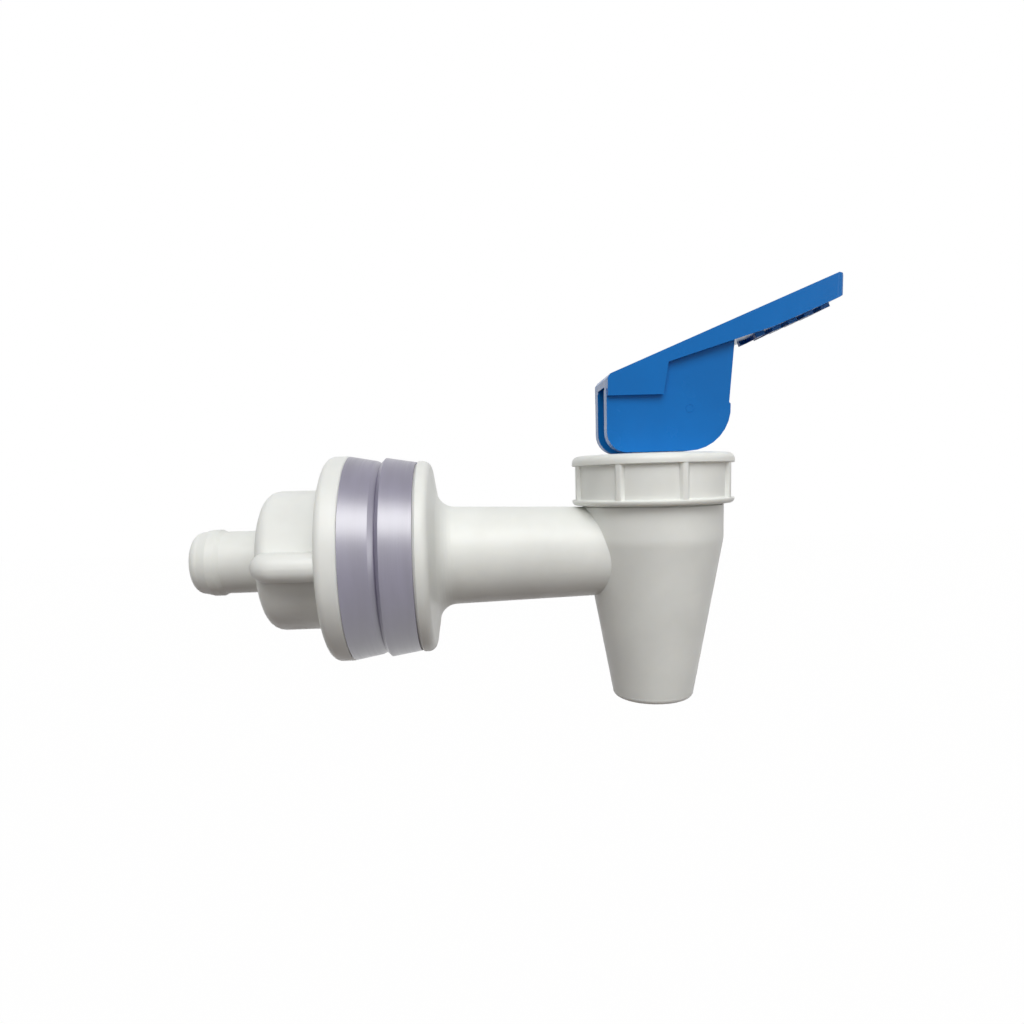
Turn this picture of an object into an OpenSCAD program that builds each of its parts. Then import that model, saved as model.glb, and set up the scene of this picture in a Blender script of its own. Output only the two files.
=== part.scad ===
// Push-lever tap for a water cooler: hose tail, threaded shank with a wing nut and two
// gaskets, arm, spout with a sprung seat cup, bonnet cap and paddle lever.
// The origin lies on the shank's axis, in the plane of the flange's mounting face.
// +X runs along the arm to the spout and +Z points up.

/* [Arm and shank] */
// Distance from the flange's mounting face to the valve's axis
arm_len = 44; // [38:0.5:60]
// Diameter of the arm beside the flange
arm_root_d = 18.3; // [17.6:0.1:20]
// Diameter of the arm where it enters the spout
arm_end_d = 16.2; // [15:0.1:17.4]
// Bore of the arm and the shank
bore_d = 12; // [10:0.1:12.6]
// Diameter of the flange that stops against the panel
flange_d = 35.6; // [31:0.2:40]
// Thickness of the flange at its rim
flange_t = 2.7; // [2.2:0.1:5]
// Radius of the sweep from the flange into the arm
flare_r = 3.4; // [1:0.1:4.5]
// Crest diameter of the shank's thread
shank_d = 20.8; // [19.6:0.1:21.4]
// Length of the threaded shank
shank_len = 27.5; // [26:0.5:34]
// Pitch of the shank's thread
thread_pitch = 1.814; // [1.4:0.01:2.2]
// Depth of the shank's thread
thread_depth = 1.1; // [0.6:0.05:1.2]

/* [Hose tail] */
// Diameter of the hose tail's neck
tail_d = 11.5; // [10.4:0.1:13]
// Diameter of the bead that holds the hose
bead_d = 12.3; // [11.8:0.1:14]
// Length of the hose tail behind the shank
tail_len = 13.8; // [11:0.1:20]
// Bore of the hose tail
tail_bore_d = 7.8; // [6:0.1:8.2]

/* [Wing nut] */
// Lip of the nut's flange past the rear gasket
nut_lip = 0.1; // [0:0.05:1]
// Thickness of the nut's flange
nut_flange_t = 4.5; // [3:0.1:6]
// Diameter of the nut's hub
nut_hub_d = 25.8; // [24.8:0.1:29]
// Length of the nut's hub behind its flange
nut_hub_len = 11.5; // [9:0.5:14]
// Thickness of each wing
wing_t = 4.9; // [3:0.1:6]
// Reach of each wing from the nut's axis
wing_reach = 18; // [16:0.1:19]
// Turn of the wings out of level when the nut is tight
wing_turn = -2.5; // [-30:0.5:30]

/* [Gaskets] */
// Diameter of the rear gasket at its wide face
gasket_d = 37.8; // [33:0.2:42]
// Amount that the front gasket is smaller across than the rear one
gasket_step = 0.8; // [0:0.1:1.6]
// Thickness of each gasket
gasket_t = 6; // [3:0.1:6.6]
// Amount that a gasket narrows across its thickness
gasket_taper = 1.8; // [0:0.1:2.4]
// Bevel beside the groove between the gaskets
gasket_bevel = 0.6; // [0.3:0.1:1.2]

/* [Spout] */
// Diameter of the collar under the bonnet cap
collar_d = 26.2; // [25.6:0.1:27.2]
// Height of the collar's top above the arm's axis
shoulder_h = 8.4; // [7.8:0.1:12]
// Height above the arm's axis where the collar turns into the cone
cone_top_h = 3; // [0:0.1:4]
// Diameter of the spout's tip
tip_d = 15.4; // [14:0.1:18]
// Distance from the arm's axis down to the spout's tip
spout_drop = 28.4; // [24:0.2:36]
// Wall of the valve chamber and the spout
spout_wall = 2; // [1.6:0.1:2.3]
// Rounding of the spout's tip
tip_round = 1.1; // [0.4:0.1:1.6]

/* [Valve seat] */
// Diameter of the hole through the valve seat
seat_hole_d = 9; // [7:0.1:9.8]
// Height of the seat's lip above the chamber's floor
lip_h = 1.2; // [0.8:0.1:1.8]
// Thickness of the chamber's floor
floor_t = 2; // [1.6:0.1:3]

/* [Bonnet cap] */
// Diameter of the bonnet cap's two rims
cap_d = 30; // [29.4:0.1:31]
// Distance across the cap's flat grip panels
cap_flats = 28.3; // [27.6:0.1:28.6]
// Number of grip panels
cap_panels = 8; // [8:1:12]
// Wall of the cap behind its panels
cap_wall = 1.5; // [1.2:0.05:1.6]
// Height of the spout's neck inside the cap
neck_h = 6.2; // [5.4:0.1:9]
// Thickness of the cap's top
cap_top_t = 2.1; // [1.6:0.1:3]
// Height of the cap's top rim
top_rim_h = 1.9; // [1.4:0.1:2.4]
// Height of the cap's bottom rim
low_rim_h = 1; // [0.9:0.1:1.8]
// Rounding of the cap's upper edge
cap_round = 1.4; // [0.8:0.1:1.4]
// Length of the stem's guide under the cap's top
guide_len = 3; // [1.5:0.1:4]

/* [Stem, spring and seat cup] */
// Diameter of the valve stem
stem_d = 7.2; // [6.6:0.1:7.6]
// Diameter of the stem's spring shoulder
shoulder_d = 12.4; // [11.8:0.1:12.8]
// Wall of the guide around the stem
guide_wall = 0.9; // [0.7:0.05:1]
// Diameter of the spring's wire
wire_d = 0.9; // [0.7:0.05:1]
// Number of turns in the spring
spring_turns = 7; // [5:1:9]
// Wall of the flexible seat cup
cup_wall = 1; // [0.8:0.1:1.2]
// Thickness of the seat cup's clamped rim
cup_rim_t = 1.2; // [0.9:0.1:1.8]
// Diameter of the seat cup's plug
plug_d = 12.8; // [12:0.1:13.2]
// Thickness of the seat cup's plug
plug_t = 5; // [4.6:0.1:5.4]

/* [Lever] */
// Height of the pivot above the lever's flat underside
pivot_h = 5.9; // [5.4:0.1:6.4]
// Diameter of the lever's trunnions
trunnion_d = 3.4; // [2.8:0.1:3.8]
// Length of each trunnion inside the slot
trunnion_len = 1.8; // [1.2:0.1:2.4]
// Width of the slot between the cheeks
slot_w = 6.8; // [6.2:0.1:7.2]
// Width across the two cheeks
cheeks_w = 12.4; // [11:0.1:13]
// Distance from the pivot back to the lever's rear face
lever_rear = 9.5; // [9:0.1:11]
// Radius of the front rolling edge
cam_r = 7.5; // [7.2:0.1:7.8]
// Distance from the pivot forward to the rolling edge's centre
cam_forward = 5.4; // [5:0.1:5.8]
// Radius of the rear lower corner
heel_r = 3.7; // [2:0.1:4.5]
// Distance from the pivot forward to the paddle's tip
paddle_reach = 32.6; // [28:0.2:44]
// Width of the paddle at its tip
paddle_w = 16; // [14.6:0.2:22]
// Width of the paddle at its rear
paddle_rear_w = 14; // [13.6:0.1:14.6]
// Slope of the paddle's top
paddle_slope = 22.2; // [18:0.1:26]
// Height of the paddle's top over the pivot
paddle_h = 11.55; // [10.8:0.05:13]
// Thickness of the paddle over the pivot
paddle_t = 2.3; // [1.8:0.1:3]
// Depth of the paddle at its tip
tip_t = 4.4; // [3:0.1:6]
// Thickness of the paddle over the slot's rear end
web_t = 1.2; // [0.8:0.1:2]
// Rounding of the tip's corners seen from above
tip_corner_r = 1.6; // [1:0.1:4]
// Number of grip bars under the paddle
grip_bars = 5; // [3:1:6]

/* [Clearances] */
// Gap round the trunnions in the stem's head
trunnion_gap = 0.05; // [0.02:0.01:0.1]
// Gap round the stem in the cap's guide
stem_gap = 0.1; // [0.05:0.01:0.15]
// Gap between the thread's crest and the nut
nut_gap = 0.1; // [0.05:0.01:0.3]
// Gap between the neck's thread and the cap
neck_gap = 0.2; // [0.1:0.05:0.3]
// Gap between the cap and the collar, and under the lever
rest_gap = 0.3; // [0.2:0.05:0.4]
// Gap between soft and hard inner pieces
soft_gap = 0.15; // [0.1:0.05:0.25]

/* [Hidden] */
$fn = 96;

white = [0.94, 0.93, 0.90];
warm_white = [0.92, 0.90, 0.87];
clear_lilac = [0.66, 0.64, 0.75, 0.7];
silicone = [0.88, 0.88, 0.86];
steel = [0.72, 0.73, 0.75];
blue = [0.05, 0.40, 0.75];
arc_steps = 8;
overrun = 1;
edge_r = 0.5;

shank_r = shank_d / 2;
thread_root_r = shank_r - thread_depth;
tail_end = -shank_len - tail_len;
tail_round = 1.8;
bead_at = 4.1;
bead_land = 1.5;
bead_ramp = 0.8;
face_dish = 0.6;
flare_start_r = arm_root_d / 2 + flare_r;

nut_face = -2 * gasket_t;
nut_bore_r = shank_r + nut_gap;
nut_flange_r = gasket_d / 2 + nut_lip;
nut_flange_back = nut_face - nut_flange_t;
nut_back = nut_flange_back - nut_hub_len;
hub_round = 2.6;
nut_edge_r = 1.6;
wing_back = nut_hub_len - 0.5;
wing_corner = 3;
gasket_bore_r = shank_r + nut_gap;

collar_r = collar_d / 2;
tip_r = tip_d / 2;
tip_z = -spout_drop;
cap_bore_r = cap_flats / 2 - cap_wall;
neck_r = cap_bore_r - neck_gap;
neck_top = shoulder_h + neck_h;
chamber_r = neck_r - spout_wall;
cone_slope = (collar_r - tip_r) / (cone_top_h - tip_z);
lip_top = -bore_d / 2 - 0.8;
floor_top = lip_top - lip_h;
floor_under = floor_top - floor_t;
lip_w = 1.2;

cap_bottom = shoulder_h + rest_gap;
cap_under = neck_top + cup_rim_t;
cap_top = cap_under + cap_top_t;
cap_r = cap_d / 2;
panel_turn = 9;

stem_r = stem_d / 2;
plug_r = plug_d / 2;
plug_top = lip_top + plug_t;
socket_r = 2.5;
socket_floor = lip_top + 1.5;
barb_r = 3.1;
cup_r = chamber_r - soft_gap;
cup_bend = 6;
cup_inner_foot = shoulder_d / 2 + soft_gap;
shoulder_z = plug_top + soft_gap;
shoulder_t = 1.6;
spring_r = stem_r + stem_gap + guide_wall + soft_gap + wire_d / 2;
spring_foot = shoulder_z + shoulder_t;

pivot_z = cap_top + rest_gap + pivot_h;
head_w = slot_w - 0.6;
head_top_r = stem_r;
flats_from = pivot_z - cam_r - 1;
cam_up = cam_r - pivot_h;
block_front = 1.4;
block_lean = 0.9;
block_low = 4.1;
wedge_len = 20;
cheek_front = cam_forward + cam_r - 0.3;
cheek_lean = 1;
bar_h = 0.7;
bar_len = 9;
bar_w = 1.7;
bar_pitch = 2.95;
first_bar = paddle_reach - 2.2;
collar_blend = 9;
rim_round = 0.8;

function arc(cx, cy, r, from, to) =
    [for (i = [0 : arc_steps]) let (a = from + (to - from) * i / arc_steps)
        [cx + r * cos(a), cy + r * sin(a)]];

// Radius of the spout's outside at a height z on its cone
function cone_r(z) = collar_r - cone_slope * (cone_top_h - z);

// Height of the paddle's top and underside over the pivot, at a distance x in front of it
function paddle_top(x) = paddle_h + x * tan(paddle_slope);
function paddle_under(x) =
    paddle_top(x) - paddle_t - (tip_t - paddle_t) * max(0, min(1, x / wedge_len));

// Turned shape about the X axis, from points [radius, x]
module turned_on_x(points) {
    rotate([0, 90, 0])
        rotate_extrude()
            polygon(points);
}

// Turned shape about the valve's axis, from points [radius, z]
module turned_on_valve(points) {
    translate([arm_len, 0, 0])
        rotate_extrude()
            polygon(points);
}

// Slab seen from the side, centred on the XZ plane, from a 2D child in x and z
module side_slab(width) {
    rotate([90, 0, 0])
        linear_extrude(width, center = true)
            children();
}

// Crests of the shank's thread, as rings one pitch apart
function thread_points() =
    let (turns = floor((shank_len - thread_pitch) / thread_pitch))
    [for (i = [0 : turns - 1])
        let (x = -shank_len + thread_pitch * (i + 0.2))
        each [[thread_root_r, x], [shank_r, x + thread_pitch * 0.32],
              [shank_r, x + thread_pitch * 0.48], [thread_root_r, x + thread_pitch * 0.8]]];

module arm_outside() {
    bead_x = tail_end + bead_at;
    turned_on_x(concat(
        [[0, tail_end]],
        arc(tail_d / 2 - tail_round, tail_end + tail_round, tail_round, -90, 0),
        [[bead_d / 2, bead_x - bead_land / 2],
         [bead_d / 2, bead_x + bead_land / 2],
         [tail_d / 2, bead_x + bead_land / 2 + bead_ramp],
         [tail_d / 2, -shank_len], [thread_root_r, -shank_len]],
        thread_points(),
        [[thread_root_r, 0], [flange_d / 2 - edge_r, 0], [flange_d / 2, edge_r]],
        arc(flange_d / 2 - nut_edge_r, flange_t - nut_edge_r, nut_edge_r, 0, 90),
        arc(flare_start_r, flange_t + face_dish + flare_r, flare_r, -90, -180),
        [[arm_end_d / 2, arm_len], [0, arm_len]]));
}

module spout_outside() {
    turned_on_valve(concat(
        [[0, tip_z]],
        arc(tip_r - tip_round, tip_z + tip_round, tip_round, -90, 0),
        arc(collar_r - collar_blend, cone_top_h, collar_blend, -atan(cone_slope), 0),
        [[collar_r, shoulder_h], [neck_r, shoulder_h],
         [neck_r, neck_top], [0, neck_top]]));
}

// Valve chamber over the seat, the seat's hole and the outlet under it
module spout_inside() {
    mouth_r = tip_r - spout_wall;
    turned_on_valve([
        [0, tip_z - overrun], [mouth_r, tip_z - overrun], [mouth_r, tip_z + 4],
        [cone_r(floor_under) - spout_wall, floor_under], [seat_hole_d / 2, floor_under],
        [seat_hole_d / 2, lip_top - 0.3], [seat_hole_d / 2 + 0.3, lip_top],
        [seat_hole_d / 2 + lip_w, lip_top], [seat_hole_d / 2 + lip_w, floor_top],
        [cone_r(floor_top) - spout_wall, floor_top], [chamber_r, cone_top_h],
        [chamber_r, neck_top + overrun], [0, neck_top + overrun]]);
}

// One moulding: hose tail, shank, flange, arm and spout
module tap_body() {
    color(white)
        difference() {
            union() {
                arm_outside();
                spout_outside();
            }
            turned_on_x([[0, tail_end - overrun], [tail_bore_d / 2, tail_end - overrun],
                         [tail_bore_d / 2, -shank_len], [bore_d / 2, -shank_len + 3],
                         [bore_d / 2, arm_len], [0, arm_len]]);
            spout_inside();
        }
}

module gasket(wide, r, back) {
    narrow = r - gasket_taper / 2;
    front = back + gasket_t;
    color(clear_lilac)
        turned_on_x(wide == "groove"
            ? [[gasket_bore_r, back], [r - gasket_bevel, back], [r, back + gasket_bevel],
               [narrow, front], [gasket_bore_r, front]]
            : [[gasket_bore_r, back], [r, back], [narrow, front - gasket_bevel * 2],
               [narrow - gasket_bevel, front], [gasket_bore_r, front]]);
}

// Gasket between the panel and the tap's flange
module front_gasket() gasket("groove", (gasket_d - gasket_step) / 2, -gasket_t);

// Gasket between the wing nut and the panel
module rear_gasket() gasket("nut", gasket_d / 2, -2 * gasket_t);

// Flat shape with half-round ends
module stadium(length, width) {
    hull()
        for (end = [-1, 1])
            translate([end * (length - width) / 2, 0])
                circle(d = width);
}

// Wings on both sides of the hub, with half-round edges and round corners
module wings() {
    translate([nut_flange_back, 0, 0])
        rotate([wing_turn, 0, 0])
            intersection() {
                translate([-wing_back - overrun, 0, 0])
                    rotate([90, 0, 90])
                        linear_extrude(wing_back + 2 * overrun)
                            stadium(2 * wing_reach, wing_t);
                translate([wing_t / 2 - wing_back / 2, 0, 0])
                    side_slab(2 * wing_reach + overrun)
                        stadium(wing_back + wing_t, wing_t);
                linear_extrude(wing_t + overrun, center = true)
                    hull()
                        for (side = [-1, 1]) {
                            translate([-wing_back + wing_corner, side * (wing_reach - wing_corner)])
                                circle(wing_corner);
                            translate([wing_t, side * (wing_reach - wing_corner)])
                                circle(wing_corner);
                        }
            }
}

module wing_nut() {
    r = nut_flange_r;
    hub_r = nut_hub_d / 2;
    color(white)
        difference() {
            union() {
                turned_on_x(concat(
                    [[0, nut_back]],
                    arc(hub_r - hub_round, nut_back + hub_round, hub_round, -90, 0),
                    [[hub_r, nut_flange_back]],
                    arc(r - nut_edge_r, nut_flange_back + nut_edge_r, nut_edge_r, -90, 0),
                    [[r, nut_face - edge_r], [r - edge_r, nut_face], [0, nut_face]]));
                wings();
            }
            turned_on_x([[0, nut_back - overrun], [nut_bore_r, nut_back - overrun],
                         [nut_bore_r, nut_face + overrun], [0, nut_face + overrun]]);
        }
}

// Flat panels round the cap, between its two rims
module panel_band() {
    band_h = cap_top - top_rim_h - cap_bottom - low_rim_h;
    translate([arm_len, 0, cap_bottom + low_rim_h])
        difference() {
            cylinder(h = band_h, r = cap_r + overrun);
            translate([0, 0, -overrun])
                rotate([0, 0, panel_turn])
                    linear_extrude(band_h + 2 * overrun)
                        circle(r = cap_flats / 2 / cos(180 / cap_panels), $fn = cap_panels);
        }
}

module bonnet_cap() {
    guide_r = stem_r + stem_gap;
    color(white)
        difference() {
            turned_on_valve(concat(
                [[guide_r, cap_under - guide_len], [guide_r + guide_wall, cap_under - guide_len],
                 [guide_r + guide_wall, cap_under], [cap_bore_r, cap_under],
                 [cap_bore_r, cap_bottom]],
                arc(cap_r - rim_round, cap_bottom + rim_round, rim_round, -90, 0),
                arc(cap_r - cap_round, cap_top - 0.3 - cap_round, cap_round, 0, 80),
                [[guide_r + 4, cap_top], [guide_r, cap_top]]));
            panel_band();
        }
}

// Soft cup: rim clamped under the cap, thin wall, and a plug that closes the seat
module seat_cup() {
    color(silicone)
        turned_on_valve([
            [0, lip_top], [plug_r - 0.6, lip_top], [plug_r, lip_top + 0.6],
            [plug_r, plug_top - 1], [cup_inner_foot + cup_wall, plug_top],
            [cup_inner_foot + cup_wall, plug_top + 1.8], [cup_r, cup_bend], [cup_r, neck_top],
            [neck_r, neck_top], [neck_r, cap_under], [cup_r - cup_wall, cap_under],
            [cup_r - cup_wall, cup_bend + 0.3], [cup_inner_foot, plug_top + 2],
            [cup_inner_foot, plug_top], [socket_r, plug_top],
            [socket_r, socket_floor + 1.7], [barb_r, socket_floor + 1.2],
            [socket_r, socket_floor], [0, socket_floor]]);
}

// Coil spring between the stem's shoulder and the cap
module return_spring() {
    sides = 8;
    per_turn = 20;
    steps = spring_turns * per_turn;
    rise = cap_under - spring_foot - wire_d - 2 * soft_gap;
    points = [for (i = [0 : steps], j = [0 : sides - 1])
        let (a = i * 360 / per_turn, b = j * 360 / sides,
             r = spring_r + wire_d / 2 * cos(b),
             z = rise * i / steps + wire_d / 2 * sin(b))
        [r * cos(a), r * sin(a), z]];
    skin = [for (i = [0 : steps - 1], j = [0 : sides - 1])
        let (k = (j + 1) % sides)
        [i * sides + j, i * sides + k, (i + 1) * sides + k, (i + 1) * sides + j]];
    ends = [[for (j = [sides - 1 : -1 : 0]) j],
            [for (j = [0 : sides - 1]) steps * sides + j]];
    color(steel)
        translate([arm_len, 0, spring_foot + wire_d / 2 + soft_gap])
            polyhedron(points, concat(skin, ends));
}

// Stem: barbed foot in the plug, spring shoulder, round shaft and flat-sided head
module valve_stem() {
    foot = socket_floor + soft_gap;
    head_top = pivot_z + head_top_r;
    color(warm_white)
        difference() {
            turned_on_valve([
                [0, foot], [socket_r - soft_gap, foot],
                [barb_r - soft_gap, socket_floor + 1.2],
                [socket_r - soft_gap, socket_floor + 1.7],
                [socket_r - soft_gap, shoulder_z], [shoulder_d / 2, shoulder_z],
                [shoulder_d / 2, shoulder_z + shoulder_t], [stem_r, shoulder_z + shoulder_t],
                [stem_r, head_top - 0.6], [stem_r - 0.6, head_top], [0, head_top]]);
            for (side = [-1, 1])
                translate([arm_len - stem_d, side * (head_w / 2 + stem_d / 2) - stem_d / 2,
                           flats_from])
                    cube([2 * stem_d, stem_d, head_top - flats_from + overrun]);
            translate([arm_len, 0, pivot_z])
                rotate([90, 0, 0])
                    cylinder(h = stem_d + overrun, d = trunnion_d + 2 * trunnion_gap,
                             center = true);
        }
}

// Side view of the cheeks: heel, flat underside, rolling edge and leaning front
module cheek_outline() {
    front_top = paddle_under(cheek_front + cheek_lean) + paddle_t / 2;
    polygon(concat(
        arc(-lever_rear + heel_r, -pivot_h + heel_r, heel_r, 180, 270),
        arc(cam_forward, cam_up, cam_r, -90, 5),
        [[cheek_front, cam_up + cam_r * sin(5) + 0.3],
         [cheek_front + cheek_lean, front_top], [0, paddle_top(0) - paddle_t / 2],
         [-lever_rear, paddle_under(-lever_rear)]]));
}

// Side view of the paddle: rear block over the cheeks, deepening skirt and blunt round tip
module paddle_outline() {
    rear = -lever_rear + 0.1;
    tip_low = paddle_under(paddle_reach - 1.2);
    polygon([
        [rear, block_low], [block_front - block_lean, block_low],
        [block_front, paddle_under(block_front)], [wedge_len, paddle_under(wedge_len)],
        [paddle_reach - 1.2, tip_low], [paddle_reach - 0.3, tip_low + 0.5],
        [paddle_reach, tip_low + 1.4], [paddle_reach, paddle_top(paddle_reach) - 1.7],
        [paddle_reach - 0.4, paddle_top(paddle_reach) - 0.7],
        [paddle_reach - 1.3, paddle_top(paddle_reach - 1.3) - 0.1],
        [rear + 0.5, paddle_top(rear + 0.5)], [rear, paddle_top(rear) - 0.5]]);
}

// Plan view of the paddle: widening to a tip with round corners
module paddle_plan() {
    half = paddle_w / 2;
    polygon(concat(
        [[-lever_rear, -paddle_rear_w / 2]],
        arc(paddle_reach - tip_corner_r, -half + tip_corner_r, tip_corner_r, -90, 0),
        arc(paddle_reach - tip_corner_r, half - tip_corner_r, tip_corner_r, 0, 90),
        [[-lever_rear, paddle_rear_w / 2]]));
}

// Short bars across the paddle's underside
module grip() {
    for (i = [0 : grip_bars - 1])
        let (x = first_bar - i * bar_pitch)
            translate([x, 0, paddle_under(x)])
                rotate([0, -paddle_slope, 0])
                    cube([bar_w, bar_len, 2 * bar_h], center = true);
}

module lever() {
    reach = 2 * lever_rear;
    color(blue)
        translate([arm_len, 0, pivot_z]) {
            difference() {
                union() {
                    intersection() {
                        side_slab(paddle_w + overrun) paddle_outline();
                        linear_extrude(paddle_top(paddle_reach)) paddle_plan();
                    }
                    side_slab(cheeks_w) cheek_outline();
                    grip();
                }
                side_slab(slot_w)
                    polygon([[-reach, -reach], [reach, -reach], [reach, paddle_under(reach)],
                             [0, paddle_under(0)], [-reach, paddle_top(-reach) - web_t]]);
            }
            for (side = [-1, 1])
                translate([0, side * (slot_w / 2 - trunnion_len / 2 + 0.25), 0])
                    rotate([90, 0, 0])
                        cylinder(h = trunnion_len + 0.5, d = trunnion_d, center = true);
        }
}

tap_body();
front_gasket();
rear_gasket();
wing_nut();
bonnet_cap();
seat_cup();
return_spring();
valve_stem();
lever();
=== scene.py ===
# Looks of the water cooler tap: rounded moulded plastic, clear gaskets and the photo's soft top light.
import math

import bmesh
import bpy
from mathutils import Matrix, Vector


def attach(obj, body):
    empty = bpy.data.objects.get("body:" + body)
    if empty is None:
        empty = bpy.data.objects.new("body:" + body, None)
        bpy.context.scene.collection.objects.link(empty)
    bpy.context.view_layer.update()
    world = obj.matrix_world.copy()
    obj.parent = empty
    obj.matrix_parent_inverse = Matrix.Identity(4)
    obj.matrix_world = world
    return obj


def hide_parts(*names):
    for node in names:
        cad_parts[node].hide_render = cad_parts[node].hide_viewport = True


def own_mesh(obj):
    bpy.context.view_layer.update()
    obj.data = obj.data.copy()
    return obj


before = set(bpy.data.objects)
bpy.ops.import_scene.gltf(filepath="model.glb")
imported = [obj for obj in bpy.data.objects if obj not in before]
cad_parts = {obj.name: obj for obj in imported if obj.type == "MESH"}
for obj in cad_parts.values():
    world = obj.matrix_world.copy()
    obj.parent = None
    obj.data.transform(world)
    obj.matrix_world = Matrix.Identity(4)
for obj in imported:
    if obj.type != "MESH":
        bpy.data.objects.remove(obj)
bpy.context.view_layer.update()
MM = 0.001

# Camera fitted to the photo, in millimetres, degrees and pixels of the 1024 frame
CAMERA_AT = Vector((11.6, -135.0, 14.05)) * MM
CAMERA_YAW = -2.37
CAMERA_PITCH = 6.46
CAMERA_ROLL = -1.565
FOCAL_PX = 717.0
FRAME_PX = 1024
HORIZON_SHIFT_PX = 48
SENSOR_MM = 36.0

# Colours in linear light
WHITE_PLASTIC = (0.82, 0.83, 0.79)
NUT_PLASTIC = (0.82, 0.83, 0.795)
STEM_PLASTIC = (0.74, 0.72, 0.68)
LEVER_BLUE = (0.008, 0.162, 0.515)
GASKET_LILAC = (0.068, 0.054, 0.128)
SILICONE = (0.72, 0.72, 0.70)
STEEL = (0.52, 0.53, 0.55)

FLOOR_Z = -0.135

# Sizes that the turned pieces share with the solids, in millimetres and degrees
ARM_LEN = 44
CAP_R = 15
CAP_BOTTOM = 8.7
CAP_UNDER = 15.8
CAP_TOP = 17.9
CUP_FOOT = 0.1
CAP_BORE_R = 12.65
GUIDE_R = 3.7
PANEL_DEPTH = 0.8
RIB_TURN = 9
RIB_HALF = 0.45
RIB_FLANK = 0.5
NUT_FACE = -12
NUT_BORE_R = 10.5
NUT_FLANGE_T = 4.1
FLANGE_R = 18.99
HUB_R = 12.9
HUB_LEN = 11.5
WING_T = 4.9
WING_REACH = 18
WING_TURN = -1.2
PIVOT_X = 44
PIVOT_Z = 24.1
CHEEKS_HALF = 6.2
FLOOR_TONE = (0.06, 0.036, 0.026)
FLOOR_WHITENESS = 0.94
FLOOR_GLOW = 1.055


def new_material(name):
    material = bpy.data.materials.new(name)
    material.use_nodes = True
    tree = material.node_tree
    shader = tree.nodes["Principled BSDF"]
    return material, tree, shader


def node(tree, kind, **inputs):
    made = tree.nodes.new(kind)
    for key, value in inputs.items():
        made.inputs[key.replace("_", " ")].default_value = value
    return made


def noise(tree, scale, detail=2.0, stretch=(1, 1, 1)):
    """Noise over the object's own metres, stretched along chosen axes."""
    place = tree.nodes.new("ShaderNodeTexCoord")
    mapping = tree.nodes.new("ShaderNodeMapping")
    mapping.inputs["Scale"].default_value = stretch
    texture = node(tree, "ShaderNodeTexNoise", Scale=scale, Detail=detail)
    tree.links.new(place.outputs["Object"], mapping.inputs["Vector"])
    tree.links.new(mapping.outputs["Vector"], texture.inputs["Vector"])
    return texture.outputs["Fac"]


def map_range(tree, value, low, high, to_low, to_high):
    mapper = tree.nodes.new("ShaderNodeMapRange")
    mapper.inputs["From Min"].default_value = low
    mapper.inputs["From Max"].default_value = high
    mapper.inputs["To Min"].default_value = to_low
    mapper.inputs["To Max"].default_value = to_high
    tree.links.new(value, mapper.inputs["Value"])
    return mapper.outputs["Result"]


def tinted(tree, factor, first, second):
    mix = tree.nodes.new("ShaderNodeMix")
    mix.data_type = "RGBA"
    mix.inputs[6].default_value = (*first, 1)
    mix.inputs[7].default_value = (*second, 1)
    tree.links.new(factor, mix.inputs[0])
    return mix.outputs[2]


def bump(tree, height, distance, strength, under=None):
    made = node(tree, "ShaderNodeBump", Strength=strength, Distance=distance)
    tree.links.new(height, made.inputs["Height"])
    if under is not None:
        tree.links.new(under, made.inputs["Normal"])
    return made.outputs["Normal"]


def moulded_plastic(name, colour, roughness, subsurface, gloss_level=0.45, relief=1.0):
    """Moulded plastic: faint flow streaks in colour, cloudy gloss and a fine orange peel."""
    material, tree, shader = new_material(name)
    links = tree.links
    darker = tuple(c * 0.93 for c in colour)
    clouds = noise(tree, 90, 3.0)
    links.new(tinted(tree, map_range(tree, clouds, 0.35, 0.65, 0, 1), darker, colour),
              shader.inputs["Base Color"])
    gloss = noise(tree, 240, 3.0)
    links.new(map_range(tree, gloss, 0.3, 0.7, roughness - 0.05, roughness + 0.07),
              shader.inputs["Roughness"])
    peel = bump(tree, noise(tree, 900, 2.0), 0.00002 * relief, 0.25)
    grain = bump(tree, noise(tree, 5200, 2.0), 0.000006 * relief, 0.3 * relief, peel)
    if relief:
        links.new(grain, shader.inputs["Normal"])
    shader.inputs["Subsurface Weight"].default_value = subsurface
    shader.inputs["Subsurface Radius"].default_value = (1.0, 0.9, 0.75)
    shader.inputs["Subsurface Scale"].default_value = 0.0015
    shader.inputs["IOR"].default_value = 1.5
    shader.inputs["Specular IOR Level"].default_value = gloss_level
    return material


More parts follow.
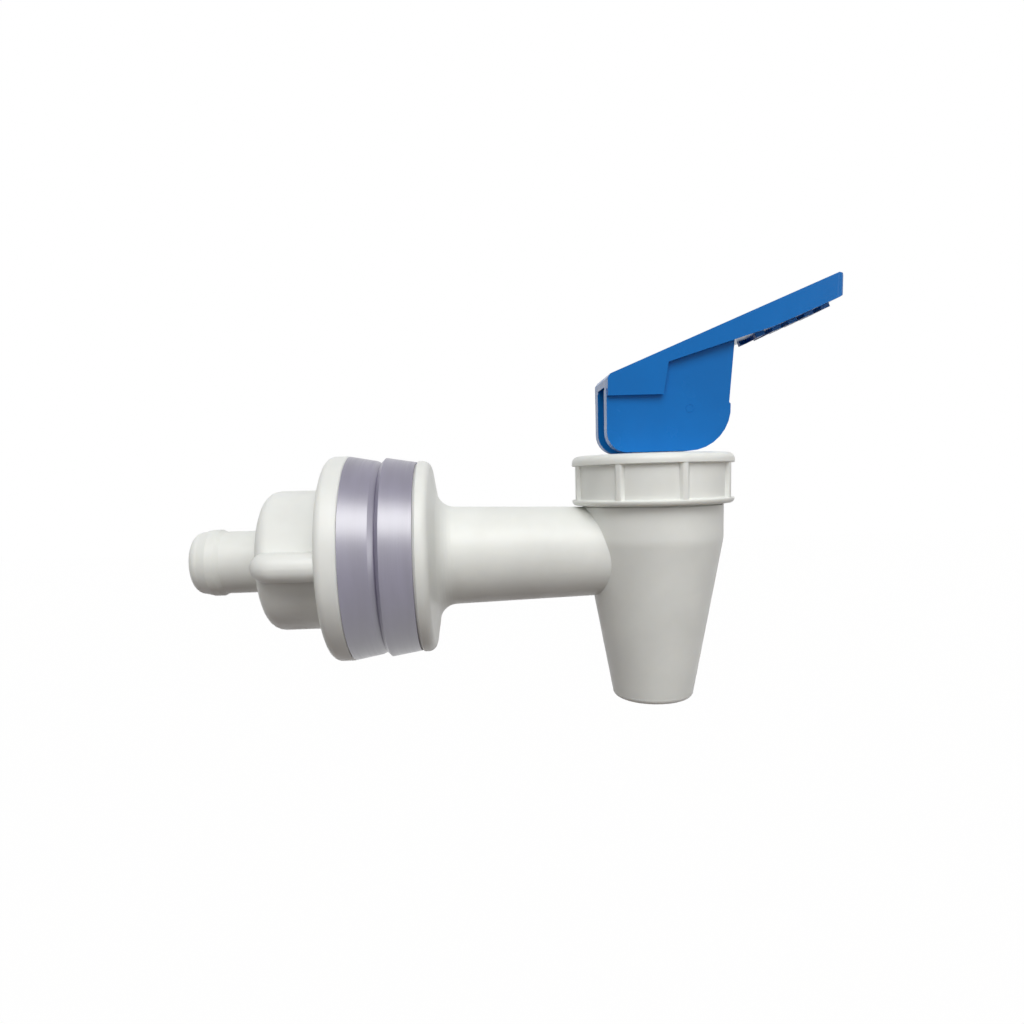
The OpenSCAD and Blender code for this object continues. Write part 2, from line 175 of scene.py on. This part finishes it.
def clear_rubber(name, colour):
    """Clear soft plastic: lilac body, fine turned streaks round the rim and a broad wet gloss."""
    material, tree, shader = new_material(name)
    links = tree.links
    pale = tuple(min(1.0, c * 1.25 + 0.02) for c in colour)
    fine = noise(tree, 3600, 3.0, (1, 0.01, 0.01))
    broad = noise(tree, 300, 2.0, (1, 0.2, 0.2))
    links.new(tinted(tree, map_range(tree, broad, 0.35, 0.65, 0, 1), colour, pale),
              shader.inputs["Base Color"])
    links.new(map_range(tree, fine, 0.3, 0.7, 0.30, 0.48), shader.inputs["Roughness"])
    soft = bump(tree, broad, 0.00012, 0.4)
    links.new(bump(tree, fine, 0.00004, 0.8, soft), shader.inputs["Normal"])
    shader.inputs["Subsurface Weight"].default_value = 0.3
    shader.inputs["Subsurface Radius"].default_value = (0.9, 0.85, 1.2)
    shader.inputs["Subsurface Scale"].default_value = 0.003
    shader.inputs["Transmission Weight"].default_value = 0.1
    shader.inputs["IOR"].default_value = 1.5
    shader.inputs["Specular IOR Level"].default_value = 0.25
    shader.inputs["Coat Weight"].default_value = 1.0
    shader.inputs["Coat Roughness"].default_value = 0.38
    shader.inputs["Coat IOR"].default_value = 2.6
    return material


def drawn_steel(name):
    material, tree, shader = new_material(name)
    links = tree.links
    drawn = noise(tree, 4000, 2.0)
    links.new(tinted(tree, drawn, tuple(c * 0.8 for c in STEEL), STEEL), shader.inputs["Base Color"])
    links.new(map_range(tree, drawn, 0.3, 0.7, 0.22, 0.4), shader.inputs["Roughness"])
    shader.inputs["Metallic"].default_value = 1.0
    return material


def finish_with(piece, material):
    piece.data.materials.clear()
    piece.data.materials.append(material)


def stand_in(piece, node_name, body, material):
    """Puts a visual piece in place of a CAD solid."""
    finish_with(piece, material)
    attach(piece, body)
    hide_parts(node_name)


def add_mesh(name, work, smooth_under=40):
    """Object from a bmesh, smooth where its faces meet at less than the given angle."""
    mesh = bpy.data.meshes.new(name)
    bmesh.ops.recalc_face_normals(work, faces=work.faces)
    for face in work.faces:
        face.smooth = True
    for edge in work.edges:
        edge.smooth = edge.calc_face_angle(0) < math.radians(smooth_under)
    work.to_mesh(mesh)
    work.free()
    piece = bpy.data.objects.new(name, mesh)
    bpy.context.scene.collection.objects.link(piece)
    return piece


def arc(centre_r, centre_h, radius, first, last, steps=6):
    """Points (radius, height) along an arc, in millimetres and degrees."""
    turns = [math.radians(first + (last - first) * i / steps) for i in range(steps + 1)]
    return [(centre_r + radius * math.cos(t), centre_h + radius * math.sin(t)) for t in turns]


def lathe(work, profile, place, steps=96, radius_at=None):
    """Closed ring turned from (radius, height) points in millimetres."""
    rings = []
    for i in range(steps):
        turn = 2 * math.pi * i / steps
        ring = []
        for k, (radius, height) in enumerate(profile):
            if radius_at is not None:
                radius = radius_at(k, radius, turn)
            at = Vector((radius * math.cos(turn), radius * math.sin(turn), height)) * MM
            ring.append(work.verts.new(place @ at))
        rings.append(ring)
    count = len(profile)
    for i in range(steps):
        here, after = rings[i], rings[(i + 1) % steps]
        for k in range(count):
            n = (k + 1) % count
            work.faces.new((here[k], after[k], after[n], here[n]))


def photo_camera():
    """Camera where the photo was taken from, looking along +Y with a slight yaw, pitch and roll."""
    yaw, pitch, roll = (math.radians(a) for a in (CAMERA_YAW, CAMERA_PITCH, CAMERA_ROLL))
    forward = Vector((-math.sin(yaw) * math.cos(pitch), math.cos(yaw) * math.cos(pitch),
                      -math.sin(pitch)))
    level = Vector((math.cos(yaw), math.sin(yaw), 0))
    upright = level.cross(forward)
    right = math.cos(roll) * level + math.sin(roll) * upright
    up = right.cross(forward)
    data = bpy.data.cameras.new("camera")
    data.sensor_width = SENSOR_MM
    data.lens = FOCAL_PX / FRAME_PX * SENSOR_MM
    data.shift_y = HORIZON_SHIFT_PX / FRAME_PX
    data.clip_start = 0.005
    camera = bpy.data.objects.new("camera", data)
    turn = Matrix((right, up, -forward)).transposed().to_4x4()
    camera.matrix_world = Matrix.Translation(CAMERA_AT) @ turn
    bpy.context.scene.collection.objects.link(camera)
    bpy.context.scene.camera = camera


def area_light(name, at, look_at, size, watts, colour=(1, 1, 1)):
    data = bpy.data.lights.new(name, "AREA")
    data.shape = "RECTANGLE"
    data.size, data.size_y = size
    data.energy = watts
    data.color = colour
    light = bpy.data.objects.new(name, data)
    light.location = at
    light.rotation_mode = "QUATERNION"
    light.rotation_quaternion = (Vector(look_at) - Vector(at)).to_track_quat("-Z", "Y")
    bpy.context.scene.collection.objects.link(light)


def seen_white(tree):
    """1 where the camera, gloss or glass sees the surface, 0 for its soft light."""
    paths = tree.nodes.new("ShaderNodeLightPath")
    seen = paths.outputs["Is Camera Ray"]
    for other in ("Is Glossy Ray", "Is Transmission Ray"):
        most = tree.nodes.new("ShaderNodeMath")
        most.operation = "MAXIMUM"
        tree.links.new(seen, most.inputs[0])
        tree.links.new(paths.outputs[other], most.inputs[1])
        seen = most.outputs[0]
    return seen


def studio():
    """Pale floor, white surroundings and a broad soft light from above."""
    world = bpy.data.worlds.new("studio")
    bpy.context.scene.world = world
    world.use_nodes = True
    tree = world.node_tree
    background = tree.nodes["Background"]
    place = tree.nodes.new("ShaderNodeTexCoord")
    split = tree.nodes.new("ShaderNodeSeparateXYZ")
    tree.links.new(place.outputs["Generated"], split.inputs[0])
    height = map_range(tree, split.outputs["Z"], -0.35, 0.6, 0.0, 1.0)
    sky = tinted(tree, height, (0.045, 0.03, 0.023), (0.33, 0.335, 0.34))
    tree.links.new(sky, background.inputs["Color"])
    white = tree.nodes.new("ShaderNodeBackground")
    white.inputs["Color"].default_value = (1, 1, 1, 1)
    mix = tree.nodes.new("ShaderNodeMixShader")
    tree.links.new(seen_white(tree), mix.inputs["Fac"])
    tree.links.new(background.outputs[0], mix.inputs[1])
    tree.links.new(white.outputs[0], mix.inputs[2])
    tree.links.new(mix.outputs[0], tree.nodes["World Output"].inputs["Surface"])

    area_light("key_light", (0.02, -0.38, 0.42), (0.02, 0, 0.0), (0.55, 0.34), 2.3)
    area_light("right_light", (0.40, -0.38, 0.12), (0.03, 0, 0.0), (0.3, 0.3), 0.5)
    area_light("front_light", (-0.14, -0.42, 0.08), (0.02, 0, 0.0), (0.3, 0.25), 0.2)

    bpy.ops.mesh.primitive_plane_add(size=3.0, location=(0, 0, FLOOR_Z))
    floor = bpy.context.object
    floor.name = "floor"
    material, tree, shader = new_material("floor_pale")
    shader.inputs["Base Color"].default_value = (*FLOOR_TONE, 1)
    shader.inputs["Roughness"].default_value = 0.9
    glow = tree.nodes.new("ShaderNodeEmission")
    glow.inputs["Strength"].default_value = FLOOR_GLOW
    keep = tree.nodes.new("ShaderNodeMath")
    keep.operation = "MULTIPLY"
    keep.inputs[1].default_value = FLOOR_WHITENESS
    tree.links.new(seen_white(tree), keep.inputs[0])
    mix = tree.nodes.new("ShaderNodeMixShader")
    tree.links.new(keep.outputs[0], mix.inputs["Fac"])
    tree.links.new(shader.outputs[0], mix.inputs[1])
    tree.links.new(glow.outputs[0], mix.inputs[2])
    tree.links.new(mix.outputs[0], tree.nodes["Material Output"].inputs["Surface"])
    finish_with(floor, material)


def grip_cap(material):
    """Bonnet cap with two soft rims and upright ribs between them."""
    ribs = 8
    steps = 480
    band_low, band_high = CAP_BOTTOM + 1.0, CAP_TOP - 1.9
    profile = [(GUIDE_R, CAP_TOP), (GUIDE_R, CAP_UNDER - 3), (GUIDE_R + 0.9, CAP_UNDER - 3),
               (GUIDE_R + 0.9, CAP_UNDER), (CAP_BORE_R, CAP_UNDER), (CAP_BORE_R, CAP_BOTTOM)]
    profile += arc(CAP_R - 0.8, CAP_BOTTOM + 0.8, 0.8, -90, 0)
    profile += [(CAP_R, band_low - 0.12), (CAP_R - 0.12, band_low)]
    first_in = len(profile)
    profile += [(CAP_R - PANEL_DEPTH + 0.15, band_low + 0.04),
                (CAP_R - PANEL_DEPTH, band_low + 0.2),
                (CAP_R - PANEL_DEPTH, band_high - 0.2),
                (CAP_R - PANEL_DEPTH + 0.15, band_high - 0.04)]
    last_in = len(profile)
    profile += [(CAP_R - 0.12, band_high), (CAP_R, band_high + 0.12)]
    profile += arc(CAP_R - 1.3, CAP_TOP - 1.35, 1.3, 0, 84)
    profile += [(GUIDE_R + 4, CAP_TOP)]

    def ribbed(k, radius, turn):
        if not first_in <= k < last_in:
            return radius
        pitch = 2 * math.pi / ribs
        off = (turn - math.radians(RIB_TURN) + pitch / 2) % pitch - pitch / 2
        across = abs(off) * CAP_R
        rise = min(1.0, max(0.0, (RIB_HALF + RIB_FLANK - across) / RIB_FLANK))
        rise = rise * rise * (3 - 2 * rise)
        return radius + (CAP_R - 0.12 - radius) * rise

    work = bmesh.new()
    lathe(work, profile, Matrix.Translation((ARM_LEN * MM, 0, 0)), steps, ribbed)
    stand_in(add_mesh("grip_cap", work), "bonnet_cap", "tap", material)


def winged_nut(material):
    """Wing nut with soft edges and fully rounded wings."""
    flange_back = NUT_FACE - NUT_FLANGE_T
    back = flange_back - HUB_LEN
    profile = [(NUT_BORE_R, NUT_FACE), (NUT_BORE_R + 0.3, back), (HUB_R - 3.2, back)]
    profile += arc(HUB_R - 2.6, back + 2.6, 2.6, -90, 0)
    profile += [(HUB_R, flange_back - 0.5), (HUB_R + 0.15, flange_back - 0.15),
                (HUB_R + 0.5, flange_back)]
    profile += arc(FLANGE_R - 1.6, flange_back + 1.6, 1.6, -90, 0)
    profile += arc(FLANGE_R - 0.5, NUT_FACE - 0.5, 0.5, 0, 90, 3)
    work = bmesh.new()
    lathe(work, profile, Matrix.Rotation(math.radians(90), 4, "Y"))

    stand_in(add_mesh("winged_nut", work), "wing_nut", "nut", material)
    nut_wings(flange_back, material)


def nut_wings(flange_back, material):
    """One slab through the hub, with round corners and half-round edges."""
    half = WING_T / 2 * MM
    length = HUB_LEN - 0.1
    size = Vector((length + 2, 2 * WING_REACH, WING_T)) * MM
    shift = Vector((flange_back - length / 2 + 1, 0, 0)) * MM
    work = bmesh.new()
    bmesh.ops.create_cube(work, size=1.0)
    for vert in work.verts:
        vert.co = Vector([a * b for a, b in zip(vert.co, size)]) + shift
    rear = [e for e in work.edges if all(v.co.x < shift.x for v in e.verts)
            and e.verts[0].co.z * e.verts[1].co.z < 0]
    bmesh.ops.bevel(work, geom=rear, offset=5 * MM, segments=10, profile=0.5, affect="EDGES")
    rim = [e for e in work.edges if e.calc_face_angle(0) > 1
           and all(abs(v.co.z) > 0.9 * half for v in e.verts)]
    bmesh.ops.bevel(work, geom=rim, offset=0.97 * half, segments=6, profile=0.5, affect="EDGES")
    bmesh.ops.rotate(work, verts=work.verts, cent=(0, 0, 0),
                     matrix=Matrix.Rotation(math.radians(WING_TURN), 3, "X"))
    wings = add_mesh("nut_wings", work)
    finish_with(wings, material)
    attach(wings, "nut")


def cheek_mark(material):
    """Small round moulding mark on the near cheek."""
    work = bmesh.new()
    lathe(work, [(0.55, -0.05), (0.62, 0.05), (0.78, 0.05), (0.85, -0.05)],
          Matrix.Translation(Vector((PIVOT_X + 5.49, -CHEEKS_HALF, PIVOT_Z + 1.66)) * MM)
          @ Matrix.Rotation(math.radians(90), 4, "X"), 32)
    mark = add_mesh("cheek_mark", work)
    finish_with(mark, material)
    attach(mark, "lever")


def soft_half(node_name, name, body, material, upper):
    """Copy of a solid under the cap: its part above or below the cup's foot, or all of it."""
    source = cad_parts[node_name]
    work = bmesh.new()
    work.from_mesh(source.data)
    if upper is not None:
        bmesh.ops.bisect_plane(work, geom=work.verts[:] + work.edges[:] + work.faces[:],
                               plane_co=(0, 0, CUP_FOOT * MM), plane_no=(0, 0, 1),
                               clear_inner=upper, clear_outer=not upper)
    piece = add_mesh(name, work)
    stand_in(piece, node_name, body, material)
    return piece


def press_together(piece):
    """Gives the piece its own copy of its mesh; the rising stem presses it together against the cap,
    which this function does not do.
    """
    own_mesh(piece)


def dress():
    """Gives every solid its finish."""
    white = moulded_plastic("white_plastic", WHITE_PLASTIC, 0.36, 0.25)
    nut_white = moulded_plastic("nut_plastic", NUT_PLASTIC, 0.38, 0.25)
    stem_white = moulded_plastic("stem_plastic", STEM_PLASTIC, 0.42, 0.1)
    blue = moulded_plastic("blue_plastic", LEVER_BLUE, 0.22, 0.0, gloss_level=0.15, relief=0.0)
    rubber = clear_rubber("gasket_clear", GASKET_LILAC)
    silicone = moulded_plastic("cup_silicone", SILICONE, 0.5, 0.6)
    steel = drawn_steel("spring_steel")
    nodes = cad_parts
    finish_with(nodes["tap_body"], white)
    finish_with(nodes["lever"], blue)
    finish_with(nodes["front_gasket"], rubber)
    finish_with(nodes["rear_gasket"], rubber)
    soft_half("seat_cup", "cup_plug", "stem", silicone, False)
    wall = soft_half("seat_cup", "cup_wall", "tap", silicone, True)
    coil = soft_half("return_spring", "spring_coil", "tap", steel, None)
    press_together(wall)
    press_together(coil)
    finish_with(nodes["valve_stem"], stem_white)

    cheek_mark(blue)
    grip_cap(white)
    winged_nut(nut_white)


bpy.context.scene.view_settings.view_transform = "Standard"
photo_camera()
studio()
dress()
